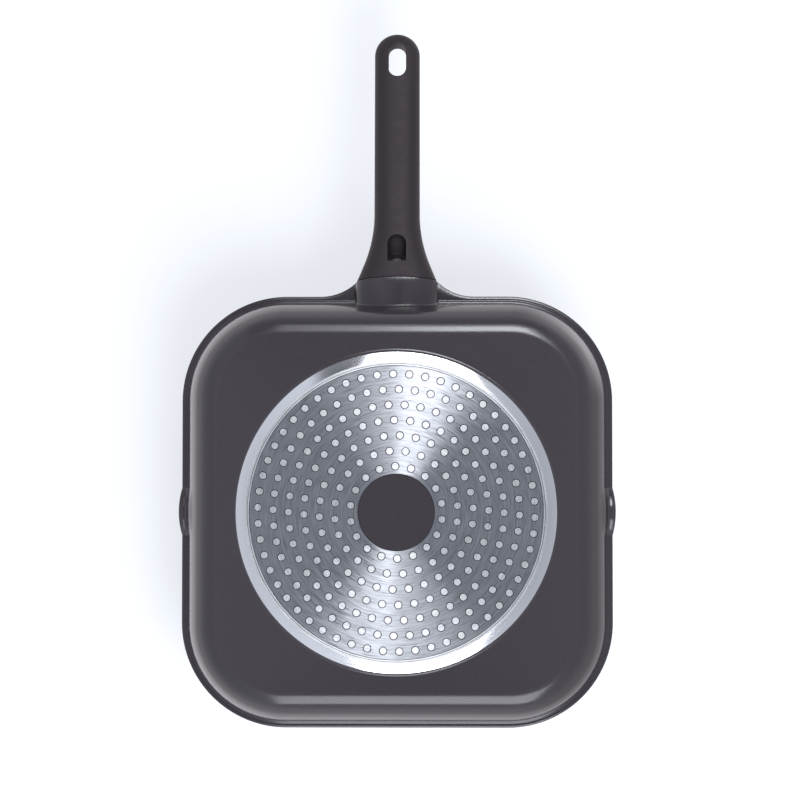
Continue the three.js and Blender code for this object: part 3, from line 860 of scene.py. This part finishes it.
class GRILLPAN_OT_plate(bpy.types.Operator):
    """Model the perforated induction plate"""
    bl_idname = "grill_pan.plate"
    bl_label = "Induction plate"

    def execute(self, context):
        size = sizes(context)
        pad = size.pad
        plate, middle = pad.plate_radius, pad.boss_radius + PLATE_FIT
        piece = solid("perforated_plate", circle(plate, pad.plate_thickness, PLATE_SIDES), [
            circle(plate, EDGE_BREAK, PLATE_SIDES),
            circle(plate - EDGE_BREAK, 0, PLATE_SIDES),
        ])
        hole = solid("middle", circle(middle, OVERRUN, PLATE_SIDES), [circle(middle, -OVERRUN, PLATE_SIDES)])
        combine(piece, hole, "DIFFERENCE")
        holes = round_rings(size, pad.stud_radius + pad.stud_gap, OVERRUN, -OVERRUN, "holes")
        combine(piece, holes, "DIFFERENCE")
        metal = brushed("brushed_plate", pad.steel, 0.31, 1)
        hand_over(piece, "induction_plate", [metal])
        return {"FINISHED"}


# Handle

def flare_half(handle, along):
    """Half width of the handle: a straight grip, and a flare along an arc that starts straight."""
    grip, root = handle.grip_width / 2, handle.root_width / 2
    if along >= handle.flare:
        return grip
    return root - arc_height(2 * handle.flare, root - grip, handle.flare - along)


def handle_form(size):
    """The handle without its cuts: lofted from the joint to the tip, where half a turn rounds it off."""
    handle = size.handle
    tip_centre = handle.length - handle.grip_width / 2
    turns = whole_turn(GRIP_SIDES)
    flare_start = 0.0025

    def section(along, grow=0, scale=1):
        half, rise = flare_half(handle, along) + grow, thickness_at(handle, along) / 2 + grow
        ring = oblong(half * scale, rise * scale, handle.power, turns)
        return [Vector((x, bowed(handle, x, along), z)) for x, z in ring]

    round_ = handle.joint_round
    gap = handle.joint_gap
    first, *sections = [section(gap, -round_, scale) for scale in CAP_SHARES]
    sections += [section(gap + round_ * (1 - math.cos(t)), round_ * (math.sin(t) - 1))
                 for t in spread(0, RIGHT_ANGLE, 4)[1:]]
    sections += [section(along) for along in spread(flare_start, handle.flare, 20)]
    sections += [section(along) for along in spread(handle.flare, tip_centre, 12)[1:]]
    piece = start("grip", first)
    loft(piece, first, sections)
    bpy.ops.mesh.delete(type="ONLY_FACE")

    def half_of_tip(edge):
        return all(abs(v.co.y - tip_centre) < TOUCH and v.co.x > -TOUCH for v in edge.verts)

    pick(piece, "EDGE", half_of_tip)
    bpy.ops.mesh.spin(steps=36, angle=-math.pi, center=(0, tip_centre, 0), axis=(0, 0, 1))
    bpy.ops.mesh.select_all(action="SELECT")
    return close_up(piece)


def slot_cutter(size):
    """A slot through the handle that opens out where it meets the skin."""
    handle = size.handle
    centre = handle.length - handle.slot_from_tip - handle.slot_length / 2
    round_ = handle.slot_round
    skin_share, mouth = 0.965, 1.6 * handle.slot_round

    def ring(grow, side, depth):
        outline = stadium(handle.slot_width + 2 * grow, handle.slot_length + 2 * grow, centre, 20)
        return [Vector((x, y, side * (thickness_at(handle, y) / 2 * skin_share - depth))) for x, y in outline]

    flare = [(round_ * (1 - math.sin(t)), round_ * (1 - math.cos(t))) for t in spread(0, RIGHT_ANGLE, 4)]
    lower = [ring(mouth, -1, -OVERRUN)] + [ring(grow, -1, depth) for grow, depth in flare]
    upper = [ring(grow, 1, depth) for grow, depth in reversed(flare)] + [ring(mouth, 1, -OVERRUN)]
    rings = lower + upper
    return solid("slot", rings[0], rings[1:])


def pocket_cutter(size):
    """A scoop with a round end that deepens towards a leaning end wall, where the screw's tunnel starts."""
    handle = size.handle
    foot, _, out = pocket_lines(handle)
    half, reach = handle.pocket_half_width, handle.pocket_length
    roof_power, start_share, end_share = 3, -0.2, 0.97

    def ring(share):
        along = foot.x + reach * share
        into = max(0, reach * share - reach + half)
        wide = math.sqrt(half * half - into * into)
        rise = handle.pocket_depth * math.sqrt(1 - max(0, share) ** 2)
        skin = -thickness_at(handle, along) / 2
        roof = oblong(wide, rise, roof_power, spread(0, math.pi, 24))
        outline = [(wide, -OVERRUN)] + roof + [(-wide, -OVERRUN)]
        return [Vector((x, along, skin + z)) for x, z in outline]

    stations = [start_share] + [math.sin(t) for t in spread(0, RIGHT_ANGLE * end_share, 20)]
    piece = solid("pocket", ring(stations[0]), [ring(share) for share in stations[1:]])
    fresh(piece)
    bpy.ops.object.mode_set(mode="EDIT")
    bpy.ops.mesh.select_all(action="SELECT")
    bpy.ops.mesh.bisect(
        plane_co=(0, foot.x, foot.y), plane_no=(0, -out.x, -out.y), use_fill=True, clear_outer=True)
    return close_up(piece)


def in_pocket(handle, place):
    """Whether a place on the handle lies inside its pocket or the screw's tunnel."""
    skin, deepest = 0.0003, handle.root_thickness * 0.8
    along = place.y - handle.pocket_from_root
    under = place.z + thickness_at(handle, place.y) / 2
    return (abs(place.x) < handle.pocket_half_width + EDGE_BREAK
            and -handle.tunnel < along < handle.pocket_length
            and skin < under < deepest)


class GRILLPAN_OT_handle(bpy.types.Operator):
    """Model the handle with its hanging slot and screw pocket"""
    bl_idname = "grill_pan.handle"
    bl_label = "Handle"

    def execute(self, context):
        size = sizes(context)
        handle, fixing = size.handle, size.fixing
        piece = handle_form(size)
        local = handle_frame(size).inverted() @ screw_frame(size)
        into_pocket = 0.0003
        mouth, end = -handle.tunnel - into_pocket, fixing.screw_length
        wide, narrow = handle.seat_radius, fixing.screw_radius + fixing.clearance
        way = [(0, mouth), (wide, mouth), (wide, 0), (narrow, 0), (narrow, end), (0, end)]
        for cutter in (tenon(size, handle.joint_gap, "socket"), pocket_cutter(size),
                       turned("screw_way", way, local), slot_cutter(size)):
            combine(piece, cutter, "DIFFERENCE")
        # Painted shade: faces in the pocket and the screw's tunnel take the darker moulding colour
        inside = [face.index for face in piece.data.polygons if in_pocket(handle, face.center)]
        settle(piece, handle_frame(size))
        skins = [soft_touch("soft_touch_moulding", handle.skin), soft_touch("raw_moulding", handle.raw)]
        hand_over(piece, "handle", skins, smooth=40)
        for index in inside:
            piece.data.polygons[index].material_index = 1
        return {"FINISHED"}


# Fixing

class GRILLPAN_OT_fixing(bpy.types.Operator):
    """Model the screw, both washers and the thread insert"""
    bl_idname = "grill_pan.fixing"
    bl_label = "Screw, washers and insert"

    def execute(self, context):
        size = sizes(context)
        fixing = size.fixing
        place = screw_frame(size)
        finish = plated(size)
        self.screw(fixing, place, finish)
        bore = fixing.screw_radius + fixing.clearance
        seat = -fixing.seat_gap
        on_washer = seat - fixing.washer_thickness - fixing.seat_gap
        end = head_face(fixing) + fixing.screw_length - fixing.insert_setback
        split = FULL_TURN - fixing.spring_split
        for name, node, slot, band, thick, high, bevel, sweep in (
            ("washer", "flat_washer", "washer_steel",
             fixing.washer_band, fixing.washer_thickness, seat, 0.00015, FULL_TURN),
            ("split_washer", "spring_washer", "spring_steel",
             fixing.spring_band, fixing.spring_thickness, on_washer, 0.0001, split),
            ("insert", "thread_insert", "insert_steel",
             fixing.insert_wall, fixing.insert_length, end, 0.0002, FULL_TURN),
        ):
            profile = ring_profile(bore, bore + band, high - thick, high, bevel)
            hand_over(turned(name, profile, place, sweep=sweep), node, [finish])
        return {"FINISHED"}

    def screw(self, fixing, place, finish):
        """A domed head with a cross recess, a plain shank and rings in place of a thread."""
        dome_height, shank, point = 0.0014, 0.003, 0.0015
        pitch, thread_share = fixing.thread_pitch, 0.6
        face = head_face(fixing)
        top = face - fixing.head_height
        end = face + fixing.screw_length
        crest, root = fixing.screw_radius, fixing.screw_radius - thread_share * pitch
        profile = [(fixing.head_radius * math.sin(t), top + dome_height * (1 - math.cos(t)))
                   for t in spread(0, RIGHT_ANGLE, 8)]
        profile += [(fixing.head_radius, face), (crest, face), (crest, face + shank)]
        for i in range(int((fixing.screw_length - shank - point) / pitch)):
            y = face + shank + i * pitch
            profile += [(root, y + pitch / 2), (crest, y + pitch)]
        profile += [(root, end), (0, end)]
        piece = turned("screw", profile, Matrix.Identity(4), steps=32)
        for turn in (0, RIGHT_ANGLE):
            fresh()
            bpy.ops.mesh.primitive_cube_add(size=1, calc_uvs=False)
            blade = bpy.context.active_object
            blade.scale = (fixing.recess_span, 2 * fixing.recess_depth, fixing.recess_blade)
            across = Matrix.Translation((0, top, 0)) @ Matrix.Rotation(turn, 4, "Y")
            settle(blade, across @ blade.matrix_basis)
            combine(piece, blade, "DIFFERENCE")
        settle(piece, place)
        hand_over(piece, "handle_screw", [finish])


def ring_profile(inner, outer, low, high, bevel):
    """Section of a flat ring with bevelled outer edges."""
    rounded = [(outer - bevel, low), (outer, low + bevel), (outer, high - bevel), (outer - bevel, high)]
    return [(inner, low)] + rounded + [(inner, high)]


# Materials

# Where nearly all values of a noise lie
NOISE = (0.3, 0.7)


def first_node(tree, kind):
    return next(node for node in tree.nodes if node.type == kind)


def feed(tree, node, inputs):
    """Puts values on a node's inputs, or links to them."""
    for key, value in inputs.items():
        if isinstance(value, bpy.types.NodeSocket):
            tree.links.new(value, node.inputs[key])
        else:
            node.inputs[key].default_value = value


def node_adder(tree):
    """A way to add nodes to a tree, with values or links on their inputs."""
    def add(kind, inputs=(), **settings):
        node = tree.nodes.new(kind)
        for key, value in settings.items():
            setattr(node, key, value)
        feed(tree, node, dict(inputs))
        return node

    return add


def made_once(name, build):
    """A node material. The build function adds its nodes and returns what the shader's inputs get."""
    material = bpy.data.materials.get(name)
    if material is None:
        material = bpy.data.materials.new(name)
        material.use_nodes = True
        tree = material.node_tree
        shader = first_node(tree, "BSDF_PRINCIPLED")
        feed(tree, shader, build(node_adder(tree), shader))
    return material


def ranged(add, value, source, target):
    """Maps one range of values onto another, and holds its ends outside it."""
    ends = {"From Min": source[0], "From Max": source[1], "To Min": target[0], "To Max": target[1]}
    return add("ShaderNodeMapRange", {"Value": value, **ends}).outputs["Result"]


def tinted(add, factor, first, last):
    """A mix of a colour with another colour, or with what a link gives."""
    other = last if isinstance(last, bpy.types.NodeSocket) else (*last, 1)
    return add("ShaderNodeMix", {0: factor, 6: (*first, 1), 7: other}, data_type="RGBA").outputs[2]


def shades(add, factor, tone, low, high):
    """A colour from darker to lighter."""
    return tinted(add, factor, [c * low for c in tone], [min(1, c * high) for c in tone])


def bumped(add, height, strength, distance):
    relief = {"Height": height, "Strength": strength, "Distance": distance}
    return add("ShaderNodeBump", relief).outputs["Normal"]


def noise(add, scale, detail):
    """Noise at a scale per metre."""
    place = add("ShaderNodeTexCoord").outputs["Object"]
    return add("ShaderNodeTexNoise", {"Vector": place, "Scale": scale, "Detail": detail}).outputs["Fac"]


def coated(size):
    """Charcoal non-stick coating: a fine sprayed grain with soft gloss."""
    def build(add, shader):
        return {
            "Base Color": shades(add, noise(add, 900, 3), size.body.coating, 0.86, 1.14),
            "Roughness": ranged(add, noise(add, 260, 4), NOISE, (0.16, 0.19)),
            "Normal": bumped(add, noise(add, 1400, 2), 0.06, 0.0003),
            "Specular IOR Level": 0.5,
        }

    return made_once("coated_charcoal", build)


def lathe_lines(add, fineness, variety):
    """Concentric streaks about the vertical axis."""
    def scaled(value, factor):
        return add("ShaderNodeMath", {0: value, 1: factor}, operation="MULTIPLY").outputs["Value"]

    place = add("ShaderNodeTexCoord").outputs["Object"]
    x, y, _ = add("ShaderNodeSeparateXYZ", {"Vector": place}).outputs
    flat = add("ShaderNodeCombineXYZ", {"X": x, "Y": y}).outputs["Vector"]
    out = add("ShaderNodeVectorMath", {0: flat}, operation="LENGTH").outputs["Value"]
    ways = {"X": scaled(out, fineness), "Y": scaled(x, variety), "Z": scaled(y, variety)}
    streaks = add("ShaderNodeCombineXYZ", ways).outputs["Vector"]
    return add("ShaderNodeTexNoise", {"Vector": streaks, "Scale": 1, "Detail": 3}).outputs["Fac"]


def stud_metal(pad):
    """Metal of the studs and of the flat ring round the plate."""
    return brushed("brushed_studs", [0.92 * c for c in pad.aluminium], 0.55, 0.7)


def brushed(name, metal, roughness, along):
    """Plate and studs: metal brushed round the middle, so light fans out along its radii."""
    def build(add, shader):
        streaks = lathe_lines(add, 1600, 90)
        return {
            "Base Color": shades(add, streaks, metal, 0.35, 1.65),
            "Roughness": ranged(add, streaks, NOISE, (roughness - 0.04, roughness + 0.04)),
            "Normal": bumped(add, streaks, 0.12, 0.0001),
            "Metallic": 1,
            "Anisotropic": along,
            "Anisotropic Rotation": ranged(add, streaks, NOISE, (0.242, 0.258)),
            "Tangent": add("ShaderNodeTangent", direction_type="RADIAL", axis="Z").outputs["Tangent"],
        }

    return made_once(name, build)


def bare(size):
    """Bare turned aluminium of the band round the plate."""
    def build(add, shader):
        streaks = lathe_lines(add, 2600, 40)
        return {
            "Base Color": shades(add, streaks, size.pad.aluminium, 0.92, 1.06),
            "Roughness": ranged(add, streaks, NOISE, (0.09, 0.13)),
            "Normal": bumped(add, streaks, 0.02, 0.0001),
            "Metallic": 1,
        }

    return made_once("turned_aluminium", build)


def soft_touch(name, skin):
    """Warm dark grey moulding with a matte, slightly rubbery skin."""
    def build(add, shader):
        return {
            "Base Color": shades(add, noise(add, 500, 3), skin, 0.9, 1.1),
            "Roughness": ranged(add, noise(add, 180, 3), NOISE, (0.48, 0.56)),
            "Normal": bumped(add, noise(add, 2200, 2), 0.08, 0.0002),
            "Specular IOR Level": 0.255,
            "Specular Tint": (1, 0.88, 0.97, 1),
        }

    return made_once(name, build)


def plated(size):
    """Zinc-plated steel of the screw, washers and insert."""
    def build(add, shader):
        return {
            "Base Color": shades(add, noise(add, 700, 4), size.fixing.zinc, 0.85, 1.15),
            "Roughness": ranged(add, noise(add, 900, 3), NOISE, (0.42, 0.55)),
            "Metallic": 1,
        }

    return made_once("zinc_steel", build)


# Stage

# Lamps by name: place, target, width and depth
LAMPS = {
    "far": ((-0.15, 0.83, -1.22), (-0.15, 0, 0), 0.7, 0.76),
    "side": ((-0.16, 0.71, -1.22), (-0.16, 0, 0), 0.32, 0.5),
    "near": ((-0.15, -1.13, -1.09), (-0.15, 0, 0), 0.8, 1.0),
    "top": ((0.7, -0.8, 1.6), (0, 0, 0), 1.2, 1.2),
    "shade": ((-0.38, -0.6, -1.1), (0, 0, 0.1), 0.75, 0.75),
}
FLOOR_DROP = 0.0005
FLOOR_GLOW = 0.4
BACKDROP_GLOW = 0.7
SHEET_WIDTH = 12
SENSOR_WIDTH = 36

# Parts of the room as ranges of a direction's X, Y or Z, and how bright they are
MIDDLE_EDGE = (0.03, 0.1)
RIGHT_TO_LEFT = (-0.3, 0.3)
SIDE_FALL = (0.3, 0.55)
SIDE_GAIN = (1.45, 1.12)
ABOVE_BASE = (-0.45, 0.1)
CORNER_ACROSS = (-0.5, -0.15)
CORNER_ALONG = (0.05, 0.35)
BEHIND_ACROSS = (-0.45, 0.45)
BEHIND_LEVEL = (0.56, 1.22)
HORIZON_START = (-0.9, -0.35)
HORIZON_END = (0.1, 0.6)


def aim(place, target):
    return (Vector(target) - Vector(place)).to_track_quat("-Z", "Y").to_matrix().to_4x4()


def lamp(name, place, target, width, depth, power, tint):
    fresh()
    bpy.ops.object.light_add(type="AREA")
    made = bpy.context.active_object
    made.name = name
    made.data.shape = "RECTANGLE"
    made.data.size = width
    made.data.size_y = depth
    made.data.energy = power
    made.data.color = tint
    made.matrix_world = Matrix.Translation(place) @ aim(place, target)
    return made


def paper(name, tone, glow):
    """White paper that shows on its front only, so it can stand between camera and pan."""
    def build(add, shader):
        facing = add("ShaderNodeNewGeometry").outputs["Backfacing"]
        clear = add("ShaderNodeBsdfTransparent").outputs["BSDF"]
        mix = add("ShaderNodeMixShader", {0: facing, 1: shader.outputs["BSDF"], 2: clear})
        tree = shader.id_data
        feed(tree, first_node(tree, "OUTPUT_MATERIAL"), {"Surface": mix.outputs["Shader"]})
        return {
            "Base Color": (*tone, 1),
            "Roughness": 0.9,
            "Specular IOR Level": 0,
            "Emission Color": (*tone, 1),
            "Emission Strength": glow,
        }

    return made_once(name, build)


def sheet(name, z, faces_up, material):
    fresh()
    turn = 0 if faces_up else math.pi
    bpy.ops.mesh.primitive_plane_add(size=SHEET_WIDTH, location=(0, 0, z), rotation=(turn, 0, 0))
    made = bpy.context.active_object
    made.name = name
    made.data.materials.append(material)
    for kind in ("diffuse", "glossy", "transmission", "shadow"):
        setattr(made, "visible_" + kind, False)
    return made


class GRILLPAN_OT_stage(bpy.types.Operator):
    """Set up the floor, backdrop, lamps, sky and camera"""
    bl_idname = "grill_pan.stage"
    bl_label = "Stage"

    def execute(self, context):
        stage = sizes(context).stage
        sheet("floor", -FLOOR_DROP, True, paper("floor_paper", stage.paper, FLOOR_GLOW))
        backdrop = sheet("backdrop", stage.backdrop_height, False,
                         paper("backdrop_paper", stage.paper, BACKDROP_GLOW))
        lamps = {}
        for name, setup in LAMPS.items():
            power = getattr(stage, name + "_power")
            lamps[name] = lamp("lamp_" + name, *setup, power, stage.light)
        lamps["top"].visible_glossy = False
        for name in ("far", "side", "near", "shade"):
            fresh(lamps[name], backdrop)
            state = "INCLUDE" if name == "shade" else "EXCLUDE"
            bpy.ops.object.light_linking_receivers_link(link_state=state)
        self.sky(context, stage)
        self.camera(context, stage)
        context.scene.view_settings.view_transform = "Standard"
        return {"FINISHED"}

    def sky(self, context, stage):
        """White behind the pan, a room with a dark middle to mirror, and an even fill for all else."""
        world = context.scene.world or bpy.data.worlds.new("World")
        context.scene.world = world
        world.use_nodes = True
        tree = world.node_tree
        add = node_adder(tree)
        way = add("ShaderNodeSeparateXYZ", {0: add("ShaderNodeTexCoord").outputs["Generated"]})
        x, y, z = way.outputs

        def worked(operation, *values):
            return add("ShaderNodeMath", dict(enumerate(values)), operation=operation).outputs[0]

        def mixed(factor, first, last):
            return add("ShaderNodeMix", {"Factor": factor, "A": first, "B": last}).outputs["Result"]

        aside = worked("ABSOLUTE", x)
        wider = worked("MULTIPLY", worked("MAXIMUM", y, 0), stage.room_spread)
        beside = ranged(add, worked("SUBTRACT", aside, wider), MIDDLE_EDGE, (0, 1))
        side = ranged(add, x, RIGHT_TO_LEFT, (stage.room_right, stage.room_left))
        side = worked("MULTIPLY", side, ranged(add, aside, SIDE_FALL, SIDE_GAIN))
        room = mixed(beside, stage.room_middle, side)
        over = ranged(add, z, ABOVE_BASE, (0, 1))
        glow = worked("MULTIPLY", ranged(add, x, CORNER_ACROSS, (stage.room_corner, 0)),
                      ranged(add, y, CORNER_ALONG, (0, 1)))
        behind = worked("ADD", ranged(add, x, BEHIND_ACROSS, BEHIND_LEVEL), glow)
        horizon = worked("MULTIPLY", ranged(add, z, HORIZON_START, (0, stage.room_horizon)),
                         ranged(add, z, HORIZON_END, (1, 0)))
        shiny = worked("ADD", mixed(over, room, behind), horizon)
        path = add("ShaderNodeLightPath").outputs
        seen = worked("MAXIMUM", path["Is Glossy Ray"], path["Is Transmission Ray"])
        lit = mixed(seen, stage.fill, shiny)
        tint = tinted(add, over, stage.walls, stage.haze)
        feed(tree, first_node(tree, "BACKGROUND"), {
            "Strength": mixed(path["Is Camera Ray"], lit, 1.0),
            "Color": tinted(add, seen, (1, 1, 1), tint),
        })

    def camera(self, context, stage):
        """The camera under the pan, with the handle at the top of the picture."""
        fresh()
        bpy.ops.object.camera_add()
        camera = context.active_object
        camera.data.sensor_width = SENSOR_WIDTH
        camera.data.lens = stage.lens
        tilt, pan = stage.camera_tilt, stage.camera_pan
        ahead = Vector((math.sin(pan), math.sin(tilt) * math.cos(pan), math.cos(tilt) * math.cos(pan)))
        right = ahead.cross(Vector((0, 1, 0))).normalized()
        up = right.cross(ahead)
        turn = Matrix((right, up, -ahead)).transposed().to_4x4()
        camera.matrix_world = Matrix.Translation(stage.camera_place) @ turn
        context.scene.camera = camera


class GRILLPAN_PT_panel(bpy.types.Panel):
    """Lists the pieces and their sizes"""
    bl_idname = "GRILLPAN_PT_panel"
    bl_label = "Grill pan"
    bl_space_type = "VIEW_3D"
    bl_region_type = "UI"
    bl_category = "Grill pan"

    def draw(self, context):
        for operator in OPERATORS:
            self.layout.operator(operator.bl_idname)
        size = sizes(context)
        for group in (size.body, size.pad, size.handle, size.fixing, size.stage):
            box = self.layout.box()
            for key in group.bl_rna.properties.keys():
                if key not in ("rna_type", "name"):
                    box.prop(group, key)


OPERATORS = (GRILLPAN_OT_body, GRILLPAN_OT_studs, GRILLPAN_OT_plate, GRILLPAN_OT_handle, GRILLPAN_OT_fixing,
             GRILLPAN_OT_stage)
GROUPS = (BodySizes, PadSizes, HandleSizes, FixingSizes, StageSizes, PanSettings)
CLASSES = (*GROUPS, *OPERATORS, GRILLPAN_PT_panel)


def register():
    for item in CLASSES:
        bpy.utils.register_class(item)
    bpy.types.Scene.grill_pan = PointerProperty(type=PanSettings)


def unregister():
    del bpy.types.Scene.grill_pan
    for item in reversed(CLASSES):
        bpy.utils.unregister_class(item)


def main():
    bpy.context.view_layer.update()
    register()
    bpy.ops.grill_pan.body()
    bpy.ops.grill_pan.studs()
    bpy.ops.grill_pan.plate()
    bpy.ops.grill_pan.handle()
    bpy.ops.grill_pan.fixing()
    bpy.ops.grill_pan.stage()


if __name__ == "__main__":
    main()
